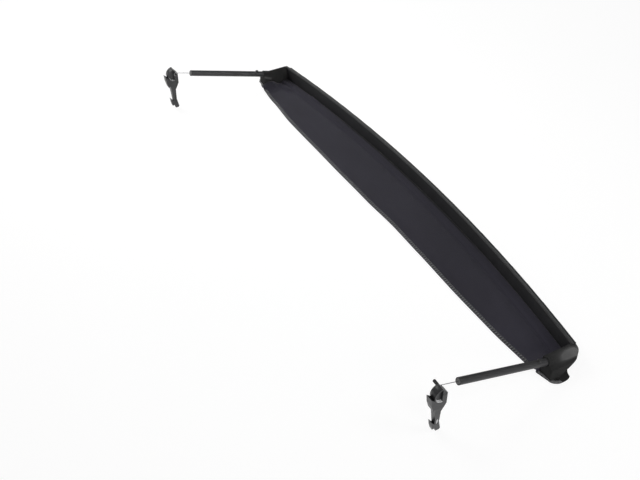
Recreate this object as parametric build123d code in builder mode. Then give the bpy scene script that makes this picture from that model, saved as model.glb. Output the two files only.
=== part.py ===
from build123d import *
import os
from math import acos, cos, degrees, radians, sin, sqrt

# Sunroof wind deflector, lying on a table as it would on a bench.
# +X is the car's right, +Y is forward to the bow, +Z is up, and the table is z = 0.
# All sizes are in millimetres, and angles are in degrees.

# Whole part
ARM_SPAN = 760.0  # between the two arm axes
DEPTH = 255.9  # clip barb tips to the front of the bow at mid span
ARM_SLOPE = 16.7  # the arms fall towards the bow

# Bow rail
BOW_RADIUS = 2477.0  # plan radius of the rim's front edge
RIM_HEIGHT = 24.0
RIM_WIDTH = 8.4
RIM_THICK = 2.8
RIM_ROUND = 1.0
RAIL_WALL = 2.4
FOOT_WIDTH = 6.5  # ledge behind the wall, clamped on the mesh
FOOT_THICK = 1.6
RAIL_SEAT = 3.5  # rail end to arm axis, inside the end cap
TONGUE_HEIGHT = 19.0  # top of the wall where it runs on into the end cap

# Felt strip on the rim
FELT_WIDTH = 4.0
FELT_THICK = 1.2
FELT_SETBACK = 0.7  # from the rim's rear edge
FELT_BEVEL = 0.4

# Mesh panel and its hem
FABRIC = 0.9
PANEL_DEPTH = 92.4  # rim front to hem rear at mid span
HEM_WIDTH = 4.6
HEM_HEIGHT = 2.8
HEM_ROUND = 1.2
HEM_GAP = 17.0  # hem end to arm axis
EAR_STEP = 4.4  # the panel's rear edge past the hem, from the hem's rear
EAR_REAR = 11.0  # rear corner of the panel's end, from the hem's rear
EAR_FRONT = 37.0  # front corner of the panel's end, from the hem's rear
EAR_TUCK = 6.0  # the panel's end inside the front corner, under the end cap
EAR_ROUND = 10.0

# End cap
CAP_OUTER = 13.0  # arm axis to outer side
CAP_INNER = 6.2  # arm axis to inner side
CAP_LENGTH = 51.3  # rear face to the rim line at the arm axis
CAP_HEIGHT = 28.3
CORNER_RADIUS = 24.0
RIDGE_ROUND = 1.5  # inner top edge
SHOULDER_START = -3.6  # arm axis to where the top falls away outwards
SHOULDER_SLOPE = 33.0
SHOULDER_ROUND = 3.0
FRONT_FALL = 15.0  # the top falls away over this length behind the front edge
FRONT_SLOPE = 25.0
SOCKET_WALL = 1.2  # boss round the arm tube
SOCKET_LENGTH = 10.0
UNDERCUT_IN = 8.3  # outer bottom edge inside the outer side
UNDERCUT_BACK = 18.3  # and behind the front edge
UNDERCUT_TURN = 24.4  # of that edge, in plan
UNDERCUT_LEAN = 28.0  # of the side below the corner, from upright

# Arm tube, its end plug and the rivet that locks it on the end cap's spigot
TUBE_DIA = 9.4
TUBE_WALL = 1.3
TUBE_START = 25.9  # pin to the tube's rear end, along the arm
TUBE_SEAT = 34.5  # length inside the end cap
PLUG_LENGTH = 10.0
SPIGOT_REACH = 18.0  # spigot behind the end cap's rear face, inside the tube
RIVET_GAP = 13.4  # rivet behind the end cap's rear face
RIVET_HEAD_DIA = 5.0
RIVET_HEAD = 1.8
RIVET_CHAMFER = 0.6
RIVET_SHANK_DIA = 2.6

# Torsion spring
WIRE_DIA = 1.0
COIL_TURNS = 2
COIL_PITCH = 1.1
WIRE_SIDES = 6
WIRE_TURN = 15.0  # wire's section in the coil, against the straight leg's
LEG_LAP = 0.3  # straight leg inside the coil's first turn
LEG_SEAT = 7.0  # wire length inside the plug

# Pivot pin
PIN_DIA = 4.2
PIN_CLEARANCE = 0.05  # coil to pin, on the radius
PEG_DIA = 4.0
PEG_REACH = 17.2  # clip's mid plane to the peg's free end
PEG_CHAMFER = 0.5
PIN_TAIL = 0.6  # pin past the coil on the left side

# Clip
CLIP_OFFSET = 6.0  # arm axis to the clip's mid plane
CLIP_WIDTH = 10.0
CLIP_WEB = 3.6
PIVOT_HEIGHT = 67.1
BARB_REACH = 17.8  # pivot to the upper barb's tip
HEAD_RADIUS = 11.0
HEAD_BACK = 2.3  # head's centre behind the pivot
HEAD_DROP = 2.1  # head's centre below the pivot
HEAD_TOP_ANGLE = 97.0
HEAD_NOTCH_ANGLE = 203.0
HEAD_FRONT = 3.6  # pivot to the head's flat front
CUP_RADIUS = 9.6
CUP_FRONT = 2.7  # the cup's flat front side, behind the pivot
COIL_ROOM = 0.45  # clearance round the coil, on the radius and at its end
LEG_SLOT_WIDTH = 3.0
LEG_SLOT_LENGTH = 9.0
LEG_CORE = 3.4  # left between the two slots
LEG_SLOT_DROP = 47.0  # slot's middle below the pivot
LEG_SLOT_BACK = 4.6  # and behind it
CLIP_LENGTH = 64.6  # pivot to the foot's underside
TAPER_TOP = 22.0  # below the pivot, where the leg starts to narrow
TAPER_FOOT = 4.4  # clip's width at the foot

# Values worked out from the sizes above
ARM_X = ARM_SPAN / 2
BOW_FRONT = DEPTH / 2
BOW_CENTRE = BOW_FRONT - BOW_RADIUS
PIVOT_Y = -DEPTH / 2 + BARB_REACH
SLOPE = radians(ARM_SLOPE)
ARM_DIRECTION = (0, cos(SLOPE), -sin(SLOPE))
ARM_NORMAL = (0, sin(SLOPE), cos(SLOPE))
TUBE_RADIUS = TUBE_DIA / 2
BORE_RADIUS = TUBE_RADIUS - TUBE_WALL
WIRE_RADIUS = WIRE_DIA / 2
PIN_RADIUS = PIN_DIA / 2
COIL_RADIUS = PIN_RADIUS + PIN_CLEARANCE + WIRE_RADIUS
COIL_LENGTH = COIL_TURNS * COIL_PITCH
TANGENT_Y = PIVOT_Y + COIL_RADIUS * sin(SLOPE)
TANGENT_Z = PIVOT_HEIGHT + COIL_RADIUS * cos(SLOPE)
HEM_REAR = BOW_FRONT - PANEL_DEPTH
HEM_HALF = ARM_X - HEM_GAP
EAR_HALF = ARM_X + CLIP_OFFSET + PEG_REACH
RAIL_HALF = ARM_X - RAIL_SEAT
RIM_HALF = ARM_X - CAP_INNER
RAIL_BACK = RIM_WIDTH + FOOT_WIDTH
FOOT_TOP = FABRIC + FOOT_THICK


def rim_y(x, behind=0.0):
    """Height in plan of the arched line that runs a given distance behind the rim's front edge."""
    return BOW_CENTRE + sqrt((BOW_RADIUS - behind) ** 2 - x**2)


def arm_plane(along):
    """Plane across the right arm's axis, a given distance from the pin along the arm."""
    origin = (ARM_X, TANGENT_Y + along * cos(SLOPE), TANGENT_Z - along * sin(SLOPE))
    return Plane(origin=origin, x_dir=(1, 0, 0), z_dir=ARM_DIRECTION)


def arm_station(y):
    """Distance from the pin along the arm, where the arm's axis passes a given y."""
    return (y - TANGENT_Y) / cos(SLOPE)


def bow_band(height, rear, front, end):
    """Arched strip in plan, between two distances behind the rim's front edge."""
    with BuildSketch(Plane.XY.offset(height)) as band:
        with BuildLine():
            corners = [(x, rim_y(x, behind)) for x in (-end, end) for behind in (front, rear)]
            ThreePointArc(corners[0], (0, rim_y(0, front)), corners[2])
            Line(corners[2], corners[3])
            ThreePointArc(corners[3], (0, rim_y(0, rear)), corners[1])
            Line(corners[1], corners[0])
        make_face()
    return band.sketch


CAP_REAR = rim_y(ARM_X) - CAP_LENGTH
TUBE_END = arm_station(CAP_REAR) + TUBE_SEAT
SPIGOT_START = arm_station(CAP_REAR) - SPIGOT_REACH
RIVET_STATION = arm_station(CAP_REAR) - RIVET_GAP

os.makedirs("parts", exist_ok=True)


def finish(builder, node):
    """Labels a finished piece and writes it out."""
    builder.part.label = node
    export_step(builder.part, f"parts/{node}.step")


def finish_pair(builder, node):
    """Writes a right-hand piece, and its mirror image for the left."""
    finish(builder, f"right_{node}")
    with BuildPart() as other:
        mirror(builder.part, about=Plane.YZ)
    finish(other, f"left_{node}")


# Bow rail: a rim over an upright wall on a foot, with the wall and foot run on into the end caps
with BuildPart() as bow_rail:
    add(bow_band(FABRIC, RAIL_BACK, RIM_WIDTH - RAIL_WALL, RAIL_HALF))
    extrude(amount=FOOT_THICK)
    add(bow_band(FOOT_TOP, RIM_WIDTH, RIM_WIDTH - RAIL_WALL, RAIL_HALF))
    extrude(amount=TONGUE_HEIGHT - FOOT_TOP)
    add(bow_band(TONGUE_HEIGHT, RIM_WIDTH, RIM_WIDTH - RAIL_WALL, RIM_HALF))
    extrude(amount=RIM_HEIGHT - TONGUE_HEIGHT)
    add(bow_band(RIM_HEIGHT - RIM_THICK, RIM_WIDTH, 0, RIM_HALF))
    extrude(amount=RIM_THICK)
    arched = bow_rail.edges().filter_by(GeomType.CIRCLE)
    rim_front = arched.group_by(Axis.Y)[-1]
    fillet(rim_front, radius=RIM_ROUND)
finish(bow_rail, "bow_rail")

# Felt strip that keeps the rim from rattling on the glass
with BuildPart() as felt_strip:
    felt_rear = RIM_WIDTH - FELT_SETBACK
    add(bow_band(RIM_HEIGHT, felt_rear, felt_rear - FELT_WIDTH, RIM_HALF))
    extrude(amount=FELT_THICK)
    top_edges = felt_strip.faces().sort_by(Axis.Z)[-1].edges().filter_by(GeomType.CIRCLE)
    chamfer(top_edges, length=FELT_BEVEL)
finish(felt_strip, "felt_strip")

# Mesh panel, flat on the table from the rail's wall to the straight hem, with an ear at each end
with BuildPart() as mesh_panel:
    right_end = [
        (RAIL_HALF, rim_y(RAIL_HALF, RIM_WIDTH)),
        (EAR_HALF - 2 * EAR_TUCK, HEM_REAR + EAR_FRONT + EAR_TUCK),
        (EAR_HALF - EAR_TUCK / 2, HEM_REAR + EAR_FRONT),
        (EAR_HALF, HEM_REAR + EAR_REAR),
        (HEM_HALF, HEM_REAR + EAR_STEP),
        (HEM_HALF, HEM_REAR),
    ]
    left_end = [(-x, y) for x, y in reversed(right_end)]
    with BuildSketch() as outline:
        with BuildLine():
            ThreePointArc(left_end[-1], (0, rim_y(0, RIM_WIDTH)), right_end[0])
            Polyline(*right_end, *left_end)
        make_face()
        outer_corners = outline.vertices().filter_by(lambda corner: abs(corner.X) > ARM_X + CAP_OUTER)
        fillet(outer_corners, radius=EAR_ROUND)
    extrude(amount=FABRIC)
finish(mesh_panel, "mesh_panel")

# Hem strip sewn along the panel's rear edge
with BuildPart() as hem_strip:
    with BuildSketch(Plane.YZ.offset(-HEM_HALF)):
        with Locations((HEM_REAR + HEM_WIDTH / 2, FABRIC + HEM_HEIGHT / 2)):
            RectangleRounded(HEM_WIDTH, HEM_HEIGHT, HEM_ROUND)
    extrude(amount=2 * HEM_HALF)
finish(hem_strip, "hem_strip")

# Arm tube, from near the clip into the end cap
with BuildPart() as arm_tube:
    with BuildSketch(arm_plane(TUBE_START)):
        Circle(TUBE_RADIUS)
        Circle(BORE_RADIUS, mode=Mode.SUBTRACT)
    extrude(amount=TUBE_END - TUBE_START)
    rivet_plane = Plane(origin=arm_plane(RIVET_STATION).origin, x_dir=(1, 0, 0), z_dir=ARM_NORMAL)
    with BuildSketch(rivet_plane):
        Circle(RIVET_SHANK_DIA / 2)
    extrude(amount=TUBE_DIA, mode=Mode.SUBTRACT)
finish_pair(arm_tube, "arm_tube")

# Plug in the tube's rear end, with a hole for the spring's leg
with BuildPart() as tube_plug:
    with BuildSketch(arm_plane(TUBE_START)):
        Circle(BORE_RADIUS)
        RegularPolygon(WIRE_RADIUS, WIRE_SIDES, mode=Mode.SUBTRACT)
    extrude(amount=LEG_SEAT)
    with BuildSketch(arm_plane(TUBE_START + LEG_SEAT)):
        Circle(BORE_RADIUS)
    extrude(amount=PLUG_LENGTH - LEG_SEAT)
finish_pair(tube_plug, "tube_plug")

# Rivet through the tube's top into the end cap's spigot
with BuildPart() as lock_rivet:
    with BuildSketch(rivet_plane.offset(BORE_RADIUS)):
        Circle(RIVET_HEAD_DIA / 2)
    extrude(amount=TUBE_WALL + RIVET_HEAD)
    rim_edge = lock_rivet.edges().sort_by(Axis(rivet_plane.origin, ARM_NORMAL))[-1]
    chamfer(rim_edge, length=RIVET_CHAMFER)
    with BuildSketch(arm_plane(TUBE_START)):
        Circle(TUBE_RADIUS)
    extrude(amount=TUBE_END - TUBE_START, mode=Mode.SUBTRACT)
    with BuildSketch(rivet_plane):
        Circle(RIVET_SHANK_DIA / 2)
    extrude(amount=TUBE_RADIUS + RIVET_HEAD / 2)
finish_pair(lock_rivet, "lock_rivet")

# End cap: the rounded corner that holds the rail's end, with a socket and spigot for the arm tube
with BuildPart() as end_cap:
    inner_x = ARM_X - CAP_INNER
    outer_x = ARM_X + CAP_OUTER
    corner_x = outer_x - CORNER_RADIUS
    corner_y = BOW_CENTRE + sqrt((BOW_RADIUS - CORNER_RADIUS) ** 2 - corner_x**2)
    corner_turn = degrees(acos((inner_x - corner_x) / CORNER_RADIUS))
    front_y = corner_y + CORNER_RADIUS
    with BuildSketch(Plane.XY.offset(FABRIC)):
        with BuildLine():
            corner = CenterArc((corner_x, corner_y), CORNER_RADIUS, 0, corner_turn)
            Polyline(corner @ 1, (inner_x, CAP_REAR), (outer_x, CAP_REAR), corner @ 0)
        make_face()
    extrude(amount=CAP_HEIGHT - FABRIC)
    fall = radians(SHOULDER_SLOPE)
    shoulder_top = (ARM_X + SHOULDER_START, 0, CAP_HEIGHT)
    split(bisect_by=Plane(origin=shoulder_top, z_dir=(sin(fall), 0, cos(fall))), keep=Keep.BOTTOM)
    top_sides = end_cap.faces().sort_by(Axis.Z)[-1].edges().filter_by(Axis.Y).sort_by(Axis.X)
    fillet(top_sides[-1], radius=SHOULDER_ROUND)
    top_sides = end_cap.faces().sort_by(Axis.Z)[-1].edges().filter_by(Axis.Y).sort_by(Axis.X)
    fillet(top_sides[0], radius=RIDGE_ROUND)
    dip = radians(FRONT_SLOPE)
    front_top = (0, front_y - FRONT_FALL, CAP_HEIGHT)
    split(bisect_by=Plane(origin=front_top, z_dir=(0, sin(dip), cos(dip))), keep=Keep.BOTTOM)
    turn = radians(UNDERCUT_TURN)
    lean = radians(UNDERCUT_LEAN)
    under_edge = (outer_x - UNDERCUT_IN, front_y - UNDERCUT_BACK, FABRIC)
    outwards = (cos(turn) * cos(lean), sin(turn) * cos(lean), -sin(lean))
    split(bisect_by=Plane(origin=under_edge, z_dir=outwards), keep=Keep.BOTTOM)
    with BuildSketch(arm_plane(arm_station(CAP_REAR))):
        Circle(TUBE_RADIUS + SOCKET_WALL)
    extrude(amount=SOCKET_LENGTH)
    with BuildSketch(arm_plane(TUBE_START)):
        Circle(TUBE_RADIUS)
    extrude(amount=TUBE_END - TUBE_START, mode=Mode.SUBTRACT)
    with BuildSketch(arm_plane(SPIGOT_START)):
        Circle(BORE_RADIUS)
    extrude(amount=TUBE_END - SPIGOT_START)
    add(lock_rivet.part, mode=Mode.SUBTRACT)
    add(bow_rail.part, mode=Mode.SUBTRACT)
finish_pair(end_cap, "end_cap")

# Torsion spring: a coil round the pin, and a straight leg along the arm into the plug
with BuildPart() as coil:
    with BuildLine() as turns:
        Helix(pitch=COIL_PITCH, height=COIL_LENGTH, radius=COIL_RADIUS)
    with BuildSketch(Plane(origin=turns.line @ 0, z_dir=turns.line % 0)):
        RegularPolygon(WIRE_RADIUS, WIRE_SIDES, rotation=WIRE_TURN)
    sweep(path=turns.line, is_frenet=True)
    with BuildSketch(Plane(origin=(COIL_RADIUS, LEG_LAP, 0), x_dir=(0, 0, 1), z_dir=(0, -1, 0))):
        RegularPolygon(WIRE_RADIUS, WIRE_SIDES)
    extrude(amount=LEG_LAP + TUBE_START + LEG_SEAT)
coil_plane = Plane(origin=(ARM_X, PIVOT_Y, PIVOT_HEIGHT), x_dir=ARM_NORMAL, z_dir=(1, 0, 0))
with BuildPart() as torsion_spring:
    add(coil.part.moved(coil_plane.location))
finish_pair(torsion_spring, "torsion_spring")

# Clip: barbed leg under a cupped head, with its outline in the plane across the pin
HEAD_CENTRE = (-HEAD_BACK, -HEAD_DROP)
CLIP_OUTLINE = [
    (-BARB_REACH, -1.6),  # upper barb's tip
    (-16.7, -12.4),
    (-14.0, -22.6),  # upper barb's lower end
    (-11.0, -20.6),
    (-9.4, -34.0),
    (-8.0, -51.0),  # notch over the lower barb
    (-12.4, -45.2),  # lower barb's tip
    (-11.7, -53.0),
    (-10.2, -59.4),  # lower barb's lower end
    (-7.2, -58.2),
    (-5.0, -CLIP_LENGTH),
    (0.0, -CLIP_LENGTH),
    (1.2, -CLIP_LENGTH + 2.2),
    (-2.3, -47.1),
    (-2.3, -28.5),
    (HEAD_FRONT, -16.6),
    (HEAD_FRONT, 0.6),
]
with BuildPart() as clip:
    with BuildSketch(Plane.YZ.offset(-CLIP_WIDTH / 2)) as outline:
        with BuildLine():
            head = CenterArc(HEAD_CENTRE, HEAD_RADIUS, HEAD_TOP_ANGLE, HEAD_NOTCH_ANGLE - HEAD_TOP_ANGLE)
            Polyline(head @ 1, *CLIP_OUTLINE, head @ 0)
        make_face()
    extrude(amount=CLIP_WIDTH)
    for side in (-1, 1):
        with BuildSketch(Plane.YZ.offset(side * CLIP_WIDTH / 2)):
            with Locations(HEAD_CENTRE):
                Circle(CUP_RADIUS)
            with Locations((-CUP_FRONT, -HEAD_DROP)):
                Rectangle(
                    2 * CUP_RADIUS, 2 * CUP_RADIUS, align=(Align.MAX, Align.CENTER), mode=Mode.INTERSECT
                )
        extrude(amount=-side * (CLIP_WIDTH - CLIP_WEB) / 2, mode=Mode.SUBTRACT)
        with BuildSketch(Plane.YZ.offset(side * CLIP_WIDTH / 2)):
            with Locations((-LEG_SLOT_BACK, -LEG_SLOT_DROP)):
                SlotOverall(LEG_SLOT_LENGTH, LEG_SLOT_WIDTH, rotation=90)
        extrude(amount=-side * (CLIP_WIDTH / 2 - LEG_CORE / 2), mode=Mode.SUBTRACT)
        with BuildSketch(Plane.XZ):
            with BuildLine():
                Polyline(
                    (side * CLIP_WIDTH / 2, -TAPER_TOP),
                    (side * CLIP_WIDTH / 2, -CLIP_LENGTH),
                    (side * TAPER_FOOT / 2, -CLIP_LENGTH),
                    close=True,
                )
            make_face()
        extrude(amount=2 * BARB_REACH, both=True, mode=Mode.SUBTRACT)
    with BuildSketch(Plane.YZ.offset(-CLIP_WIDTH / 2)):
        Circle(COIL_RADIUS + WIRE_RADIUS + COIL_ROOM)
    extrude(amount=COIL_LENGTH + WIRE_RADIUS + COIL_ROOM - CLIP_OFFSET + CLIP_WIDTH / 2, mode=Mode.SUBTRACT)
    with BuildSketch(Plane.YZ):
        Circle(PIN_RADIUS)
    extrude(amount=CLIP_WIDTH, both=True, mode=Mode.SUBTRACT)
with BuildPart() as placed_clip:
    add(clip.part.moved(Location((ARM_X + CLIP_OFFSET, PIVOT_Y, PIVOT_HEIGHT))))
finish_pair(placed_clip, "clip")

# Pivot pin through the clip's web, with a thinner peg on its left end
for hand, side in (("left", -1), ("right", 1)):
    middle = side * (ARM_X + CLIP_OFFSET)
    tail = CLIP_WIDTH / 2 if side > 0 else CLIP_OFFSET + WIRE_RADIUS + PIN_TAIL
    root = -CLIP_WIDTH / 2 if side < 0 else -CLIP_OFFSET - WIRE_RADIUS - PIN_TAIL
    with BuildPart() as pivot_pin:
        with BuildSketch(Plane.YZ.offset(middle + root)):
            with Locations((PIVOT_Y, PIVOT_HEIGHT)):
                Circle(PIN_RADIUS)
        extrude(amount=tail - root)
        with BuildSketch(Plane.YZ.offset(middle - PEG_REACH)):
            with Locations((PIVOT_Y, PIVOT_HEIGHT)):
                Circle(PEG_DIA / 2)
        extrude(amount=PEG_REACH + root)
        ends = pivot_pin.edges().sort_by(Axis.X)
        chamfer([ends[0], ends[-1]], length=PEG_CHAMFER)
    finish(pivot_pin, f"{hand}_pivot_pin")
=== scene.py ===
import math

import bpy
from mathutils import Matrix, Vector, noise


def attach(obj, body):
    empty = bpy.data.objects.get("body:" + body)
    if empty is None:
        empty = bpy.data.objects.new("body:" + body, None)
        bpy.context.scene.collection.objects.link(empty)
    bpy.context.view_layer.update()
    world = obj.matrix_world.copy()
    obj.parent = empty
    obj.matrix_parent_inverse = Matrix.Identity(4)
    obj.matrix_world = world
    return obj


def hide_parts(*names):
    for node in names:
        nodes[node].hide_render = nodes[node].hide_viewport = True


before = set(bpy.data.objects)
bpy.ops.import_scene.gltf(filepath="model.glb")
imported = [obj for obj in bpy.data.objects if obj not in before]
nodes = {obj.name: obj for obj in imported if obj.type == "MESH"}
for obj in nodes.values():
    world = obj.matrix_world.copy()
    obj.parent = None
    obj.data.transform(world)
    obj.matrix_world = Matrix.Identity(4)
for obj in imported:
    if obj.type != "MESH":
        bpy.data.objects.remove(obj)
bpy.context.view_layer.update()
scene = bpy.context.scene
scene.view_settings.view_transform = "Standard"

# Sizes in metres, as in the CAD model
ARM_X = 0.380
ARM_SLOPE = math.radians(16.7)
BOW_FRONT = 0.12795
BOW_RADIUS = 2.477
RIM_WIDTH = 0.0084
RIM_HEIGHT = 0.024
LEDGE_BACK = 0.0149
LEDGE_TOP = 0.0025
FELT_WIDTH = 0.004
FELT_THICK = 0.0012
FELT_REAR = 0.0077
FABRIC = 0.0009
HEM_REAR = 0.03555
HEM_HALF = 0.363
HEM_WIDTH = 0.0040
HEM_HEIGHT = 0.0026
HEM_INSET = 0.0007
CAP_INNER_X = 0.3738
PIVOT_Y = -0.11015
PIVOT_Z = 0.0671
COIL_RADIUS = 0.00265
COIL_TURNS = 2
COIL_PITCH = 0.0011
WIRE_RADIUS = 0.0005
LEG_LENGTH = 0.0329
CLIP_X = 0.386
CUP_Y = -0.0023
CUP_Z = -0.0021
SLOT_Y = -0.0046
SLOT_Z = -0.0470

UP = Vector((0, 0, 1))


def rim_y(x, behind):
    """y of the arched line a given distance behind the rim's front edge."""
    return BOW_FRONT - BOW_RADIUS + math.sqrt((BOW_RADIUS - behind) ** 2 - x * x)


def lerp(a, b, t):
    """The value a part t of the way from a to b."""
    return a + (b - a) * t


def smooth(low, high, value):
    """0 below low, 1 above high, and an eased ramp between."""
    t = min(1.0, max(0.0, (value - low) / (high - low)))
    return t * t * (3 - 2 * t)


def spaced(half, steps):
    """Evenly spaced values from -half to half, both ends included."""
    return [-half + 2 * half * i / steps for i in range(steps + 1)]


def squarer(value, power):
    """A sine or cosine with its sign kept, drawn out towards a squarer section."""
    return math.copysign(abs(value) ** power, value)


def ring(half_width, half_height, count):
    """An oval section of (side, up) offsets."""
    turns = [2 * math.pi * k / count for k in range(count)]
    return [(half_width * math.cos(turn), half_height * math.sin(turn)) for turn in turns]


def grid_faces(rows, columns, start=0, wrap=False):
    """Quads of a rows by columns grid of points, closed round each row if wrap is set."""
    faces = []
    across = columns if wrap else columns - 1
    for r in range(rows - 1):
        a = start + r * columns
        b = a + columns
        for c in range(across):
            d = (c + 1) % columns
            faces.append((a + c, a + d, b + d, b + c))
    return faces


def turned_over(faces):
    """The same faces with their other side up."""
    return [tuple(reversed(face)) for face in faces]


def swept(path, sections, ups):
    """Closed tube along a path, with a section of (side, up) offsets and an up direction at each point."""
    points = []
    count = len(path)
    for i, (spot, section, lean) in enumerate(zip(path, sections, ups)):
        along = (path[min(i + 1, count - 1)] - path[max(i - 1, 0)]).normalized()
        side = along.cross(lean).normalized()
        up = side.cross(along).normalized()
        points += [spot + side * a + up * b for a, b in section]
    size = len(sections[0])
    faces = grid_faces(count, size, wrap=True)
    faces.append(tuple(range(size - 1, -1, -1)))
    faces.append(tuple(range((count - 1) * size, count * size)))
    return points, faces


def gather(points, faces, tube):
    """Add a swept tube to the points and faces of a growing mesh."""
    start = len(points)
    tube_points, tube_faces = tube
    points += tube_points
    faces += [tuple(start + v for v in face) for face in tube_faces]


def make_object(name, points, faces, *paints):
    """A smooth-shaded mesh object in the part's frame, with its materials."""
    mesh = bpy.data.meshes.new(name)
    mesh.from_pydata(points, [], faces)
    mesh.update()
    mesh.shade_smooth()
    for paint in paints:
        mesh.materials.append(paint.material)
    piece = bpy.data.objects.new(name, mesh)
    scene.collection.objects.link(piece)
    return piece


# Materials
NOISE_LOW = 0.3
NOISE_HIGH = 0.7
FIBRE_LOW = 0.35
FIBRE_HIGH = 0.65
TONE_CELLS = 45.0
GLOSS_CELLS = 90.0
GRAIN_DEPTH = 0.00004


class Paint:
    """A principled material with helpers for the procedural detail on it."""

    def __init__(self, name, roughness=0.5, **settings):
        self.material = bpy.data.materials.new(name)
        self.material.use_nodes = True
        self.tree = self.material.node_tree
        self.shader = self.tree.nodes["Principled BSDF"]
        self.shader.inputs["Roughness"].default_value = roughness
        for key, value in settings.items():
            self.shader.inputs[key.replace("_", " ")].default_value = value
        self.where = self.tree.nodes.new("ShaderNodeTexCoord").outputs["Object"]

    def add(self, kind, **settings):
        """A new node with its settings."""
        node = self.tree.nodes.new(kind)
        for key, value in settings.items():
            setattr(node, key, value)
        return node

    def link(self, source, target):
        self.tree.links.new(source, target)

    def axes(self):
        """The object's own X, Y and Z."""
        split = self.add("ShaderNodeSeparateXYZ")
        self.link(self.where, split.inputs["Vector"])
        return split.outputs

    def noise(self, cells, detail=3.0, stretch=(1, 1, 1)):
        """A noise value in object space, of a given number of cells per metre."""
        place = self.add("ShaderNodeMapping")
        place.inputs["Scale"].default_value = stretch
        self.link(self.where, place.inputs["Vector"])
        node = self.add("ShaderNodeTexNoise")
        node.inputs["Scale"].default_value = cells
        node.inputs["Detail"].default_value = detail
        self.link(place.outputs["Vector"], node.inputs["Vector"])
        return node.outputs["Fac"]

    def bands(self, scale, direction):
        """Even bands across X or Y."""
        node = self.add("ShaderNodeTexWave", wave_type="BANDS", bands_direction=direction)
        node.inputs["Scale"].default_value = scale
        self.link(self.where, node.inputs["Vector"])
        return node.outputs["Fac"]

    def combine(self, operation, first, second=0.0):
        """One math step on two values, each of them a socket or a number."""
        node = self.add("ShaderNodeMath", operation=operation)
        for socket, value in zip(node.inputs, (first, second)):
            if isinstance(value, float):
                socket.default_value = value
            else:
                self.link(value, socket)
        return node.outputs[0]

    def product(self, first, *others):
        """Values multiplied together."""
        for other in others:
            first = self.combine("MULTIPLY", first, other)
        return first

    def unsigned(self, value):
        """A value without its sign."""
        return self.combine("ABSOLUTE", value)

    def length(self, first, second):
        """Length of a line from its two sides at right angles."""
        squares = self.combine("ADD", self.product(first, first), self.product(second, second))
        return self.combine("SQRT", squares)

    def step(self, value, low, high):
        """0 where a value is at low, 1 at high, and an eased ramp between."""
        node = self.add("ShaderNodeMapRange", interpolation_type="SMOOTHSTEP")
        node.inputs["From Min"].default_value = low
        node.inputs["From Max"].default_value = high
        self.link(value, node.inputs["Value"])
        return node.outputs["Result"]

    def colour(self, value, *stops):
        """Base colour from a value, as (position, colour) stops."""
        ramp = self.add("ShaderNodeValToRGB")
        elements = ramp.color_ramp.elements
        for element, (position, shade) in zip(elements, stops):
            element.position = position
            element.color = (*shade, 1.0)
        self.link(value, ramp.inputs["Fac"])
        self.link(ramp.outputs["Color"], self.shader.inputs["Base Color"])

    def cover(self, part, shade):
        """Another base colour laid over the first, by a part between 0 and 1."""
        base = self.shader.inputs["Base Color"]
        under = base.links[0].from_socket
        layer = self.add("ShaderNodeMixRGB")
        self.link(part, layer.inputs["Fac"])
        self.link(under, layer.inputs["Color1"])
        layer.inputs["Color2"].default_value = (*shade, 1.0)
        self.link(layer.outputs["Color"], base)

    def gloss(self, value, low, high):
        """Roughness between two limits, from a noise value."""
        node = self.add("ShaderNodeMapRange")
        node.inputs["From Min"].default_value = NOISE_LOW
        node.inputs["From Max"].default_value = NOISE_HIGH
        node.inputs["To Min"].default_value = low
        node.inputs["To Max"].default_value = high
        self.link(value, node.inputs["Value"])
        self.link(node.outputs["Result"], self.shader.inputs["Roughness"])

    def bump(self, value, depth, strength=1.0):
        """Fine relief from a value."""
        node = self.add("ShaderNodeBump")
        node.inputs["Distance"].default_value = depth
        node.inputs["Strength"].default_value = strength
        self.link(value, node.inputs["Height"])
        self.link(node.outputs["Normal"], self.shader.inputs["Normal"])


def moulded(name, dark, light, rough, grain=1800.0, level=0.5):
    """Moulded plastic or coating, with uneven tone and gloss and a fine grain."""
    paint = Paint(name, Specular_IOR_Level=level)
    paint.colour(paint.noise(TONE_CELLS, 4.0), (NOISE_LOW, dark), (NOISE_HIGH, light))
    paint.gloss(paint.noise(GLOSS_CELLS), *rough)
    paint.bump(paint.noise(grain, 2.0), GRAIN_DEPTH)
    return paint


rail = moulded(
    "rail_plastic",
    dark=(0.014, 0.014, 0.015),
    light=(0.020, 0.020, 0.022),
    rough=(0.55, 0.70),
    level=0.4,
)
arm_coating = moulded(
    "arm_coating",
    dark=(0.024, 0.024, 0.026),
    light=(0.032, 0.032, 0.034),
    rough=(0.40, 0.55),
    grain=900.0,
)
plug_plastic = moulded(
    "plug_plastic",
    dark=(0.15, 0.15, 0.15),
    light=(0.21, 0.21, 0.21),
    rough=(0.45, 0.60),
)
pin_finish = moulded(
    "pin_finish",
    dark=(0.012, 0.012, 0.013),
    light=(0.020, 0.020, 0.021),
    rough=(0.30, 0.45),
)
rivet_finish = moulded(
    "rivet_finish",
    dark=(0.020, 0.020, 0.021),
    light=(0.030, 0.030, 0.032),
    rough=(0.30, 0.45),
)

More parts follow.
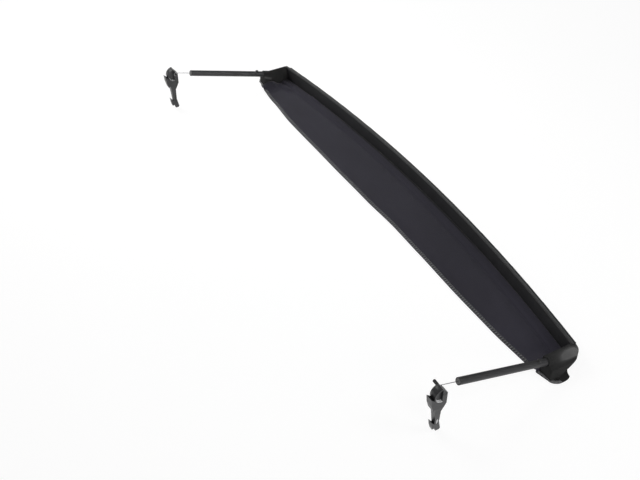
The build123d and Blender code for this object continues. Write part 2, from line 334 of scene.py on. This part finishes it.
# End caps: polished by handling on the front of the shoulder, and matt behind and below it
SHOULDER_X = (0.3718, 0.3845)
SHOULDER_Y = (0.050, 0.082)
SHOULDER_Z = (0.0185, 0.0220)
CAP_MATT = 0.95
cap = moulded(
    "cap_plastic",
    dark=(0.019, 0.019, 0.019),
    light=(0.026, 0.026, 0.026),
    rough=(0.24, 0.36),
    level=0.3,
)
cap_at = cap.axes()
cap_out = cap.unsigned(cap_at["X"])
polish = cap.shader.inputs["Roughness"].links[0].from_socket
handled = cap.product(
    cap.step(cap_at["Z"], *SHOULDER_Z),
    cap.step(cap_at["Y"], *SHOULDER_Y),
    cap.step(cap_out, *SHOULDER_X),
)
unhandled = cap.product(cap.combine("SUBTRACT", 1.0, handled), CAP_MATT)
cap.link(cap.combine("MAXIMUM", polish, unhandled), cap.shader.inputs["Roughness"])

# End caps: a painted highlight in a narrow band on the inner side, sloping down below the tube
STREAK_Y = 0.0422
STREAK_Z = 0.0215
STREAK_SLOPE = math.radians(25.2)
STREAK_START = (-0.0010, 0.0020)
STREAK_END = (0.0215, 0.0185)
STREAK_EDGE = (0.0026, 0.0010)
INNER_SIDE = (0.3752, 0.3744)
HIGHLIGHT_SHADE = (0.070, 0.070, 0.070)
ahead = cap.combine("SUBTRACT", cap_at["Y"], STREAK_Y)
below = cap.combine("SUBTRACT", STREAK_Z, cap_at["Z"])
along_streak = cap.combine(
    "ADD",
    cap.product(ahead, math.cos(STREAK_SLOPE)),
    cap.product(below, math.sin(STREAK_SLOPE)),
)
off_streak = cap.combine(
    "SUBTRACT",
    cap.product(ahead, math.sin(STREAK_SLOPE)),
    cap.product(below, math.cos(STREAK_SLOPE)),
)
painted_highlight = cap.product(
    cap.step(cap.unsigned(off_streak), *STREAK_EDGE),
    cap.step(along_streak, *STREAK_START),
    cap.step(along_streak, *STREAK_END),
    cap.step(cap_out, *INNER_SIDE),
)
# Painted highlight laid over the cap's own colour along that band
cap.cover(painted_highlight, HIGHLIGHT_SHADE)

# Clips: painted pale on the cup's floor, more so on the right, and in the right leg's slot
CUP_PALE_INNER = (0.0091, 0.0095)
CUP_PALE_OUTER = (0.0101, 0.0098)
CUP_PALE_BELOW = (-0.0030, -0.0060)
CUP_PALE_REAR = (-0.0001, -0.0005)
CUP_PALE_LEFT = 0.55
SLOT_PALE_Y = (0.0018, 0.0016)
SLOT_PALE_Z = (0.0048, 0.0046)
SLOT_PALE_X = (0.0026, 0.0022)
RIGHT_HAND = (-0.1, 0.1)
PALE_PATCH = (0.88, 0.88, 0.89)
clip = moulded(
    "clip_plastic",
    dark=(0.028, 0.028, 0.030),
    light=(0.040, 0.040, 0.042),
    rough=(0.32, 0.44),
    grain=600.0,
    level=0.45,
)
clip_at = clip.axes()
right_hand = clip.step(clip_at["X"], *RIGHT_HAND)
cup_y = clip.combine("SUBTRACT", clip_at["Y"], PIVOT_Y + CUP_Y)
cup_z = clip.combine("SUBTRACT", clip_at["Z"], PIVOT_Z + CUP_Z)
cup_reach = clip.length(cup_y, cup_z)
cup_floor = clip.product(
    clip.step(cup_reach, *CUP_PALE_INNER),
    clip.step(cup_reach, *CUP_PALE_OUTER),
    clip.step(cup_z, *CUP_PALE_BELOW),
    clip.step(cup_y, *CUP_PALE_REAR),
    clip.combine("ADD", clip.product(right_hand, 1.0 - CUP_PALE_LEFT), CUP_PALE_LEFT),
)
slot_x = clip.unsigned(clip.combine("SUBTRACT", clip.unsigned(clip_at["X"]), CLIP_X))
slot_y = clip.unsigned(clip.combine("SUBTRACT", clip_at["Y"], PIVOT_Y + SLOT_Y))
slot_z = clip.unsigned(clip.combine("SUBTRACT", clip_at["Z"], PIVOT_Z + SLOT_Z))
in_slot = clip.product(
    clip.step(slot_y, *SLOT_PALE_Y),
    clip.step(slot_z, *SLOT_PALE_Z),
    clip.step(slot_x, *SLOT_PALE_X),
    right_hand,
)
# Pale colour laid over the cup's floor and the slot
clip.cover(clip.step(clip.combine("MAXIMUM", cup_floor, in_slot), 0.0, 1.0), PALE_PATCH)

# Mesh: crossed threads, with a cloudy tone
THREAD_SCALE = 260.0
THREAD_SHARE = 0.35
CLOUD_CELLS = 9.0
CLOUD_STRETCH = (1.0, 2.0, 1.0)
CLOUD_SHARE = 0.65
WEAVE_DARK = (0.30, (0.0204, 0.0190, 0.0275))
WEAVE_LIGHT = (0.85, (0.0345, 0.0322, 0.0455))
WEAVE_DEPTH = 0.00025
WEAVE_RELIEF = 0.6
weave = Paint("mesh_weave", 0.85, Sheen_Weight=0.12, Sheen_Roughness=0.5, Specular_IOR_Level=0.2)
threads = weave.combine("MAXIMUM", weave.bands(THREAD_SCALE, "X"), weave.bands(THREAD_SCALE, "Y"))
cloud = weave.noise(CLOUD_CELLS, stretch=CLOUD_STRETCH)
tone = weave.combine("ADD", weave.product(threads, THREAD_SHARE), weave.product(cloud, CLOUD_SHARE))
weave.colour(tone, WEAVE_DARK, WEAVE_LIGHT)
weave.bump(threads, WEAVE_DEPTH, WEAVE_RELIEF)

# Mesh: painted light at its right end and on the lap, a painted shadow line where the lap meets the wall,
# and dark ears
LIGHT_END = (0.22, 0.34)
LIGHT_END_SHARE = 0.40
LAP_FADE = (0.0310, 0.0170)
LAP_SHARE = 0.08
LAP_RIGHT = (0.17, 0.34)
LAP_RIGHT_SHARE = 0.17
LAP_MIDDLE = (-0.26, 0.02)
LAP_MIDDLE_SHARE = 0.15
PAINTED_LIGHT_SHADE = (0.0600, 0.0560, 0.0790)
WALL_SHADOW_FADE = (0.0130, 0.0092)
WALL_SHADOW_RIGHT = (0.20, 0.11)
WALL_SHADOW_LEFT = (-0.27, -0.16)
WALL_SHADOW_SHARE = 0.95
WALL_SHADOW_SHADE = (0.0030, 0.0030, 0.0040)
EAR_EDGE = (0.3735, 0.3755)
EAR_SHADE = (0.019, 0.019, 0.019)
weave_at = weave.axes()
weave_x = weave_at["X"]
from_centre = weave.length(weave_x, weave.combine("ADD", weave_at["Y"], BOW_RADIUS - BOW_FRONT))
behind_rim = weave.combine("SUBTRACT", BOW_RADIUS, from_centre)
# Painted light at the right end, against the shade the arm and cap cast there
weave.cover(weave.product(weave.step(weave_x, *LIGHT_END), LIGHT_END_SHARE), PAINTED_LIGHT_SHADE)
# Painted light on the lap beside the wall, against the shade the wall casts on it
lap_right = weave.product(weave.step(weave_x, *LAP_RIGHT), LAP_RIGHT_SHARE)
lap_middle = weave.product(weave.step(weave_x, *LAP_MIDDLE), LAP_MIDDLE_SHARE)
lap_painted_light = weave.combine("ADD", weave.combine("ADD", lap_right, lap_middle), LAP_SHARE)
weave.cover(weave.product(weave.step(behind_rim, *LAP_FADE), lap_painted_light), PAINTED_LIGHT_SHADE)
# Painted shadow in a thin dark line where the lap meets the wall
wall_shadow = weave.product(
    weave.step(behind_rim, *WALL_SHADOW_FADE),
    weave.step(weave_x, *WALL_SHADOW_RIGHT),
    weave.step(weave_x, *WALL_SHADOW_LEFT),
    WALL_SHADOW_SHARE,
)
weave.cover(wall_shadow, WALL_SHADOW_SHADE)
weave.cover(weave.step(weave.unsigned(weave_x), *EAR_EDGE), EAR_SHADE)

# Felt pile, hem cord and thread, and spring wire
felt = Paint("felt_pile", 0.95, Sheen_Weight=0.2, Sheen_Roughness=0.6, Specular_IOR_Level=0.15)
felt.colour(
    felt.noise(1400.0, 4.0),
    (FIBRE_LOW, (0.026, 0.026, 0.027)),
    (FIBRE_HIGH, (0.062, 0.062, 0.064)),
)
felt.bump(felt.noise(2600.0), 0.0003)

cord = Paint("hem_cord", 0.75, Sheen_Weight=0.2, Specular_IOR_Level=0.3)
cord.colour(
    cord.noise(700.0),
    (FIBRE_LOW, (0.030, 0.030, 0.033)),
    (FIBRE_HIGH, (0.055, 0.055, 0.059)),
)
cord.bump(cord.bands(190.0, "X"), 0.0002)

thread = Paint("hem_thread", 0.7, Sheen_Weight=0.2, Specular_IOR_Level=0.3)
thread.colour(
    thread.noise(900.0, 2.0),
    (FIBRE_LOW, (0.17, 0.17, 0.175)),
    (FIBRE_HIGH, (0.28, 0.28, 0.285)),
)
thread.bump(thread.noise(3000.0, 2.0), 0.0001)

wire = Paint("spring_wire", Metallic=1.0)
wire.colour(
    wire.noise(400.0),
    (NOISE_LOW, (0.28, 0.28, 0.29)),
    (NOISE_HIGH, (0.42, 0.42, 0.43)),
)
wire.gloss(wire.noise(900.0), 0.22, 0.38)
wire.bump(wire.noise(2500.0, 2.0), 0.00002)

# CAD pieces that are shown as they are, some with their edges eased
FINISHES = {
    "bow_rail": rail,
    "end_cap": cap,
    "arm_tube": arm_coating,
    "tube_plug": plug_plastic,
    "lock_rivet": rivet_finish,
    "clip": clip,
    "pivot_pin": pin_finish,
}
EASED = {"end_cap": 0.0008, "clip": 0.0005, "bow_rail": 0.0003}
EASE_SEGMENTS = 2
EASE_ANGLE = math.radians(40)
WELD_WITHIN = 0.00002
for name, piece in nodes.items():
    kind = name.removeprefix("left_").removeprefix("right_")
    if kind not in FINISHES:
        continue
    piece.data.materials.clear()
    piece.data.materials.append(FINISHES[kind].material)
    if kind in EASED:
        weld = piece.modifiers.new("weld", "WELD")
        weld.merge_threshold = WELD_WITHIN
        ease = piece.modifiers.new("ease", "BEVEL")
        ease.width = EASED[kind]
        ease.segments = EASE_SEGMENTS
        ease.limit_method = "ANGLE"
        ease.angle_limit = EASE_ANGLE
        ease.harden_normals = True

# Mesh cloth: a panel clamped under the rail's ledge, a lap over the ledge, and an ear under each end cap
HEM_SWAY = (
    (-0.363, 0.0038),
    (-0.326, 0.0012),
    (-0.250, -0.0027),
    (-0.120, -0.0016),
    (-0.020, -0.0001),
    (0.060, 0.0028),
    (0.120, 0.0020),
    (0.220, 0.0002),
    (0.290, 0.0006),
    (0.363, 0.0038),
)
PAST_HEM_SLANT = 0.28


def panel_rear(x):
    """y of the panel's rear edge, which wanders a little along its length."""
    for (x0, y0), (x1, y1) in zip(HEM_SWAY, HEM_SWAY[1:]):
        if x0 <= x <= x1:
            return HEM_REAR + HEM_INSET + lerp(y0, y1, smooth(x0, x1, x))
    return HEM_REAR + HEM_INSET + HEM_SWAY[0][1] + (abs(x) - HEM_HALF) * PAST_HEM_SLANT


# Waves all over the panel, three folds at its left end, and a lift beside each cap
WAVE_HEIGHT = 0.0014
WAVE_CELLS_X = 14.0
WAVE_CELLS_Y = 20.0
WAVE_DRAW = 3.7
WAVE_REAR = (0.044, 0.056)
WAVE_BEHIND_RIM = 0.0155
WAVE_FRONT_FADE = 0.022
WAVE_END = 0.362
WAVE_END_FADE = 0.03
FOLDS = (
    ((-0.366, 0.0700), (-0.338, 0.0785), 0.0060, 0.0036),
    ((-0.371, 0.0800), (-0.350, 0.0850), 0.0044, 0.0028),
    ((-0.303, 0.0992), (-0.274, 0.1016), 0.0036, 0.0020),
)
FOLD_START = (-0.15, 0.2)
FOLD_END = (-0.15, 0.25)
FOLD_FADE = 0.0020
CAP_LIFT = 0.0088
CAP_LIFT_X = 0.347
CAP_LIFT_REAR = (0.036, 0.052)
CAP_LIFT_FRONT = 0.074
CAP_LIFT_FADE = 0.016


def panel_lift(x, y, held=LEDGE_BACK):
    """How far the cloth stands off the table, with folds only behind the line where it is held."""
    waved = smooth(*WAVE_REAR, y) * smooth(0.0, WAVE_FRONT_FADE, rim_y(x, WAVE_BEHIND_RIM) - y)
    waved *= smooth(0.0, WAVE_END_FADE, WAVE_END - abs(x))
    wave = noise.noise(Vector((x * WAVE_CELLS_X, y * WAVE_CELLS_Y, WAVE_DRAW)))
    lift = WAVE_HEIGHT * waved * (0.5 + 0.5 * wave)
    clear = smooth(0.0, FOLD_FADE, rim_y(x, held) - y)
    for start, end, height, width in FOLDS:
        along = Vector(end) - Vector(start)
        spot = Vector((x, y)) - Vector(start)
        t = spot.dot(along) / along.length_squared
        off = abs(spot.x * along.y - spot.y * along.x) / along.length
        ends = smooth(*FOLD_START, t) * smooth(*FOLD_END, 1.0 - t)
        lift += height * math.exp(-((off / width) ** 2)) * ends * clear
    beside = smooth(CAP_LIFT_X, CAP_INNER_X, abs(x)) * smooth(*CAP_LIFT_REAR, y)
    beside *= smooth(0.0, CAP_LIFT_FADE, CAP_LIFT_FRONT - y)
    return lift + CAP_LIFT * beside


PANEL_GAP = 0.0009
PANEL_END = CAP_INNER_X - PANEL_GAP
PANEL_STEPS = 210
PANEL_ROWS = 34
LAP_ROWS = 11
LAP_RAMP = 0.0095
LAP_CREST = 0.0004
LAP_CLEARANCE = 0.00005
cloth_points = []
cloth_faces = []
for x in spaced(PANEL_END, PANEL_STEPS):
    for r in range(PANEL_ROWS + 1):
        y = lerp(panel_rear(x), rim_y(x, RIM_WIDTH), r / PANEL_ROWS)
        cloth_points.append(Vector((x, y, FABRIC / 2 + panel_lift(x, y))))
cloth_faces += turned_over(grid_faces(PANEL_STEPS + 1, PANEL_ROWS + 1))

lap_start = len(cloth_points)
for x in spaced(PANEL_END, PANEL_STEPS):
    edge = rim_y(x, LEDGE_BACK + LAP_RAMP)
    crest = rim_y(x, LEDGE_BACK + LAP_CREST)
    for r in range(LAP_ROWS + 1):
        y = lerp(edge, rim_y(x, RIM_WIDTH), r / LAP_ROWS)
        rise = (LEDGE_TOP + LAP_CLEARANCE) * smooth(edge, crest, y)
        cloth_points.append(Vector((x, y, FABRIC / 2 + panel_lift(x, y, RIM_WIDTH) + rise)))
cloth_faces += turned_over(grid_faces(PANEL_STEPS + 1, LAP_ROWS + 1, lap_start))

# Ears: each drops from the panel's lifted end, then runs flat under the cap to a rounded tip
EAR_GAP = 0.0006
EAR_START = CAP_INNER_X - EAR_GAP
EAR_TIP = 0.4015
EAR_STEPS = 36
EAR_ROWS = 20
EAR_DROP_STEPS = 5
EAR_REAR = (0.0422, 0.0462)
EAR_REAR_TURN = 0.3900
EAR_REAR_ROUND = 0.0140
EAR_FRONT = (0.0880, 0.0740)
EAR_FRONT_TURN = 0.3970
EAR_FRONT_ROUND = 0.0125
EAR_LEAST = 0.0004
EAR_TIP_GAP = 0.0001
EAR_WAVER = 0.0005
EAR_WAVER_CELLS = 400.0


def rounding(far, turn, depth):
    """How much a corner has drawn in, from where it starts to turn up to the ear's tip."""
    t = max(0.0, (far - turn) / (EAR_TIP - turn))
    return depth * (1 - math.sqrt(1 - t * t))


def ear_edges(side, far):
    """y of an ear's raw rear edge and of its front edge, at a distance from the middle."""
    straight = min(1.0, (far - EAR_START) / (EAR_REAR_TURN - EAR_START))
    rear = lerp(*EAR_REAR, straight) + rounding(far, EAR_REAR_TURN, EAR_REAR_ROUND)
    rear += EAR_WAVER * noise.noise(Vector((far * EAR_WAVER_CELLS, side * 3.0, 1.0)))
    front = lerp(*EAR_FRONT, smooth(EAR_START, EAR_FRONT_TURN, far))
    front -= rounding(far, EAR_FRONT_TURN, EAR_FRONT_ROUND)
    return rear, max(rear + EAR_LEAST, front)


raw_edges = {-1: [], 1: []}
for side, raw_edge in raw_edges.items():
    ear_start = len(cloth_points)
    for i in range(-EAR_DROP_STEPS, EAR_STEPS + 1):
        t = 1 - (1 - max(0, i) / EAR_STEPS) ** 2
        far = lerp(EAR_START, EAR_TIP - EAR_TIP_GAP, t)
        rear, front = ear_edges(side, far)
        if i >= 0:
            raw_edge.append((far, rear))
        drop = max(0, -i) / EAR_DROP_STEPS
        x = side * lerp(far, PANEL_END, drop)
        for r in range(EAR_ROWS + 1):
            y = lerp(rear, front, r / EAR_ROWS)
            cloth_points.append(Vector((x, y, FABRIC / 2 + drop * panel_lift(side * PANEL_END, y))))
    ear_faces = grid_faces(EAR_STEPS + 1 + EAR_DROP_STEPS, EAR_ROWS + 1, ear_start)
    cloth_faces += ear_faces if side < 0 else turned_over(ear_faces)
cloth = make_object("mesh_cloth", cloth_points, cloth_faces, weave)
thicken = cloth.modifiers.new("thickness", "SOLIDIFY")
thicken.thickness = FABRIC
thicken.offset = 0.0
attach(cloth, "frame")
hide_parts("mesh_panel")

# Fray: loose threads along each ear's raw edge, each varied by noise drawn at its own place
FRAY_PER_STEP = 12
FRAY_CELLS = 900.0
FRAY_TURN = 50
FRAY_REACH = 0.0034
FRAY_REACH_VARIES = 0.0016
FRAY_INSET = 0.0036
FRAY_INSET_VARIES = 0.0022
FRAY_ABOVE = 0.0002
FRAY_TIP_RISE = 0.0005
FRAY_TIP_VARIES = 0.0005
FRAY_BOW = Vector((0, 0, 0.0004))
FRAY_SECTION = ring(0.00020, 0.00020, 4)
REACH_DRAW = Vector((4.0, 1.0, 7.0))
INSET_DRAW = Vector((2.0, 8.0, 3.0))
fray_points = []
fray_faces = []
for side, raw_edge in raw_edges.items():
    for (x0, y0), (x1, y1) in zip(raw_edge, raw_edge[1:]):
        outward = Vector((side * (y1 - y0), x0 - x1, 0.0)).normalized()
        for k in range(FRAY_PER_STEP):
            t = k / FRAY_PER_STEP
            draw = Vector((x0 * FRAY_CELLS + t * 7.3, side * 2.0, k * 1.9))
            turn = math.radians(FRAY_TURN * noise.noise(draw))
            reach = FRAY_REACH + FRAY_REACH_VARIES * noise.noise(draw + REACH_DRAW)
            inset = FRAY_INSET + FRAY_INSET_VARIES * noise.noise(draw + INSET_DRAW)
            on_edge = Vector((side * lerp(x0, x1, t), lerp(y0, y1, t), FABRIC + FRAY_ABOVE))
            root = on_edge - outward * inset
            tip = root + (Matrix.Rotation(turn, 3, "Z") @ outward) * reach
            tip.z += FRAY_TIP_RISE + FRAY_TIP_VARIES * noise.noise(draw * 1.7)
            path = [root, (root + tip) / 2 + FRAY_BOW, tip]
            gather(fray_points, fray_faces, swept(path, [FRAY_SECTION] * 3, [UP] * 3))
fray = make_object("ear_fray", fray_points, fray_faces, thread)
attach(fray, "frame")

# Hem: a cord in the folded edge, whipped over with thread
STITCH_PITCH = 0.0042
BEAD_STEPS = 700
BEAD_SIDES = 14
BEAD_SQUARE = 0.75
BEAD_SWELL = 0.10
BEAD_END = 0.55
BEAD_END_STEPS = 4
BEAD_Z = FABRIC + HEM_HEIGHT / 2
WHIPPED_SIDE = -0.45
bead_path = []
bead_sections = []
for i, x in enumerate(spaced(HEM_HALF, BEAD_STEPS)):
    swell = 1 - BEAD_SWELL + BEAD_SWELL * abs(math.sin(math.pi * x / STITCH_PITCH))
    from_end = min(i, BEAD_STEPS - i) / BEAD_END_STEPS
    taper = min(1.0, BEAD_END + (1 - BEAD_END) * math.sqrt(from_end))
    section = []
    for k in range(BEAD_SIDES):
        turn = 2 * math.pi * k / BEAD_SIDES
        wide = squarer(math.cos(turn), BEAD_SQUARE) * HEM_WIDTH / 2
        tall = squarer(math.sin(turn), BEAD_SQUARE) * HEM_HEIGHT / 2
        section.append((wide * swell * taper, tall * swell * taper))
    bead_path.append(Vector((x, panel_rear(x) + HEM_WIDTH / 2, BEAD_Z)))
    bead_sections.append(section)
bead_points, bead_faces = swept(bead_path, bead_sections, [UP] * len(bead_path))
hem = make_object("hem_bead", bead_points, bead_faces, cord, thread)
for face in hem.data.polygons:
    if face.normal.y < WHIPPED_SIDE:
        face.material_index = 1
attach(hem, "frame")
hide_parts("hem_strip")

# Stitches: each a thread laid over the cord, from below its rear side to past its top
STITCH_COUNT = int(2 * HEM_HALF / STITCH_PITCH) - 1
STITCH_LEAN = 0.0012
STITCH_LEAN_VARIES = 0.0004
STITCH_FROM = 200
STITCH_TO = 70
STITCH_STEPS = 8
STITCH_SUNK = 0.96
STITCH_SECTION = ring(0.00055, 0.00033, 6)
stitch_points = []
stitch_faces = []
for i in range(STITCH_COUNT):
    x = (i - (STITCH_COUNT - 1) / 2) * STITCH_PITCH
    bead_y = panel_rear(x) + HEM_WIDTH / 2
    lean = STITCH_LEAN + STITCH_LEAN_VARIES * noise.noise(Vector((i * 1.7, 0.3, 9.1)))
    path = []
    ups = []
    for k in range(STITCH_STEPS + 1):
        t = k / STITCH_STEPS
        turn = math.radians(lerp(STITCH_FROM, STITCH_TO, t))
        outward = Vector((0, math.cos(turn), math.sin(turn)))
        y = outward.y * HEM_WIDTH / 2 * STITCH_SUNK
        z = outward.z * HEM_HEIGHT / 2 * STITCH_SUNK
        path.append(Vector((x + lean * (t - 0.5), bead_y, BEAD_Z)) + Vector((0, y, z)))
        ups.append(outward)
    gather(stitch_points, stitch_faces, swept(path, [STITCH_SECTION] * len(path), ups))
stitches = make_object("hem_stitches", stitch_points, stitch_faces, thread)
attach(stitches, "frame")

# Felt: a soft crowned strip with an uneven pile
FELT_STEPS = 640
FELT_ARC = 12
FELT_SQUARE_SIDE = 0.6
FELT_SQUARE_TOP = 0.5
FELT_FUZZ = 0.10
FELT_FUZZ_CELLS = 900.0
FELT_MIDDLE = FELT_REAR - FELT_WIDTH / 2
felt_path = []
felt_sections = []
for x in spaced(CAP_INNER_X, FELT_STEPS):
    section = []
    for k in range(FELT_ARC + 1):
        turn = math.pi * k / FELT_ARC
        fuzz = 1.0 + FELT_FUZZ * noise.noise(Vector((x * FELT_FUZZ_CELLS, k * 1.3, 5.0)))
        wide = squarer(math.cos(turn), FELT_SQUARE_SIDE) * FELT_WIDTH / 2
        tall = squarer(math.sin(turn), FELT_SQUARE_TOP) * FELT_THICK
        section.append((-wide * fuzz, tall * fuzz))
    felt_path.append(Vector((x, rim_y(x, FELT_MIDDLE), RIM_HEIGHT)))
    felt_sections.append(section)
felt_points, felt_faces = swept(felt_path, felt_sections, [UP] * len(felt_path))
felt_piece = make_object("felt_pile_strip", felt_points, felt_faces, felt)
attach(felt_piece, "frame")
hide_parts("felt_strip")

# Springs: round wire, run straight from the plug and coiled on the pin
LEG_STEPS = 12
COIL_STEPS = 60
WIRE_SECTION = ring(WIRE_RADIUS, WIRE_RADIUS, 10)
across_arm = Vector((0, math.sin(ARM_SLOPE), math.cos(ARM_SLOPE)))
along_arm = Vector((0, -math.cos(ARM_SLOPE), math.sin(ARM_SLOPE)))
for hand, side in (("left", -1), ("right", 1)):
    pivot = Vector((side * ARM_X, PIVOT_Y, PIVOT_Z))
    path = []
    for i in range(LEG_STEPS):
        to_go = LEG_LENGTH * (1 - i / LEG_STEPS)
        path.append(pivot + (across_arm * COIL_RADIUS - along_arm * to_go))
    for i in range(COIL_STEPS + 1):
        turn = 2 * math.pi * COIL_TURNS * i / COIL_STEPS
        shift = Vector((side * (COIL_PITCH * COIL_TURNS * i / COIL_STEPS), 0, 0))
        spot = across_arm * (COIL_RADIUS * math.cos(turn)) + along_arm * (COIL_RADIUS * math.sin(turn))
        path.append(pivot + (spot + shift))
    sideways = [Vector((1, 0, 0))] * len(path)
    wire_points, wire_faces = swept(path, [WIRE_SECTION] * len(path), sideways)
    spring = make_object(f"{hand}_spring_wire", wire_points, wire_faces, wire)
    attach(spring, "frame")
    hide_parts(f"{hand}_torsion_spring")

# Floor: mostly glowing white where it is looked at, and matt for the part's shadow and the light on it
FLOOR_SIZE = 30
FLOOR_BELOW = 0.0003
FLOOR_MATT = (0.85, 0.85, 0.85, 1)
FLOOR_GLOW = 1.120
FLOOR_GLOW_SHARE = 0.78
bpy.ops.mesh.primitive_plane_add(size=FLOOR_SIZE, location=(0, 0, -FLOOR_BELOW))
floor = bpy.context.object
floor.name = "floor"
ground = bpy.data.materials.new("floor_white")
ground.use_nodes = True
tree = ground.node_tree
tree.nodes.clear()
surface = tree.nodes.new("ShaderNodeOutputMaterial")
blend = tree.nodes.new("ShaderNodeMixShader")
matt = tree.nodes.new("ShaderNodeBsdfDiffuse")
matt.inputs["Color"].default_value = FLOOR_MATT
glow = tree.nodes.new("ShaderNodeEmission")
glow.inputs["Color"].default_value = (1, 1, 1, 1)
glow.inputs["Strength"].default_value = FLOOR_GLOW
rays = tree.nodes.new("ShaderNodeLightPath")
seen = rays.outputs["Is Camera Ray"]
for ray in ("Is Glossy Ray", "Is Transmission Ray"):
    either = tree.nodes.new("ShaderNodeMath")
    either.operation = "MAXIMUM"
    tree.links.new(seen, either.inputs[0])
    tree.links.new(rays.outputs[ray], either.inputs[1])
    seen = either.outputs[0]
glow_share = tree.nodes.new("ShaderNodeMath")
glow_share.operation = "MULTIPLY"
glow_share.inputs[1].default_value = FLOOR_GLOW_SHARE
tree.links.new(seen, glow_share.inputs[0])
tree.links.new(glow_share.outputs[0], blend.inputs["Fac"])
tree.links.new(matt.outputs[0], blend.inputs[1])
tree.links.new(glow.outputs[0], blend.inputs[2])
tree.links.new(blend.outputs[0], surface.inputs["Surface"])
floor.data.materials.append(ground)

# Light: a white room and four soft lamps
ROOM_STRENGTH = 0.24
world = bpy.data.worlds.new("studio")
scene.world = world
world.use_nodes = True
room = world.node_tree.nodes["Background"]
room.inputs["Color"].default_value = (1, 1, 1, 1)
room.inputs["Strength"].default_value = ROOM_STRENGTH


def softbox(name, place, aim, size, power, spread=180.0):
    """A rectangular lamp aimed at a point, with its light held to a cone where spread is narrow."""
    lamp = bpy.data.lights.new(name, "AREA")
    lamp.shape = "RECTANGLE"
    lamp.spread = math.radians(spread)
    lamp.size, lamp.size_y = size
    lamp.energy = power
    holder = bpy.data.objects.new(name, lamp)
    holder.location = place
    holder.rotation_euler = (Vector(aim) - Vector(place)).to_track_quat("-Z", "Y").to_euler()
    scene.collection.objects.link(holder)


softbox(
    "side",
    place=(1.21, 0.98, 1.21),
    aim=(0.39, 0.08, 0.02),
    size=(0.8, 0.8),
    power=0.52,
    spread=40.0,
)
softbox(
    "overhead",
    place=(-1.30, -0.42, 1.15),
    aim=(-0.50, 0.08, 0.0),
    size=(1.4, 1.1),
    power=3.2,
    spread=60.0,
)
softbox(
    "fill",
    place=(4.60, -0.60, 1.74),
    aim=(0.10, 0.0, 0.03),
    size=(2.4, 1.8),
    power=61.0,
)
softbox(
    "far_side",
    place=(0.92, 0.79, 1.00),
    aim=(-0.40, -0.03, 0.05),
    size=(0.5, 0.5),
    power=0.20,
    spread=24.0,
)

# Camera, at the photograph's viewing angle
IMAGE_WIDTH = 640.0
SENSOR_WIDTH = 36.0
FOCAL_PIXELS = 930.10
EYE_AT = (0.90271, -0.54962, 0.85634)
EYE_RIGHT = Vector((0.48421, 0.87496, 0.0))
EYE_BACK = Vector((0.66346, -0.36716, 0.65192))
camera = bpy.data.cameras.new("camera")
camera.sensor_width = SENSOR_WIDTH
camera.lens = SENSOR_WIDTH * FOCAL_PIXELS / IMAGE_WIDTH
eye = bpy.data.objects.new("camera", camera)
facing = Matrix((EYE_RIGHT, EYE_BACK.cross(EYE_RIGHT), EYE_BACK)).transposed().to_4x4()
eye.matrix_world = Matrix.Translation(EYE_AT) @ facing
scene.collection.objects.link(eye)
scene.camera = eye
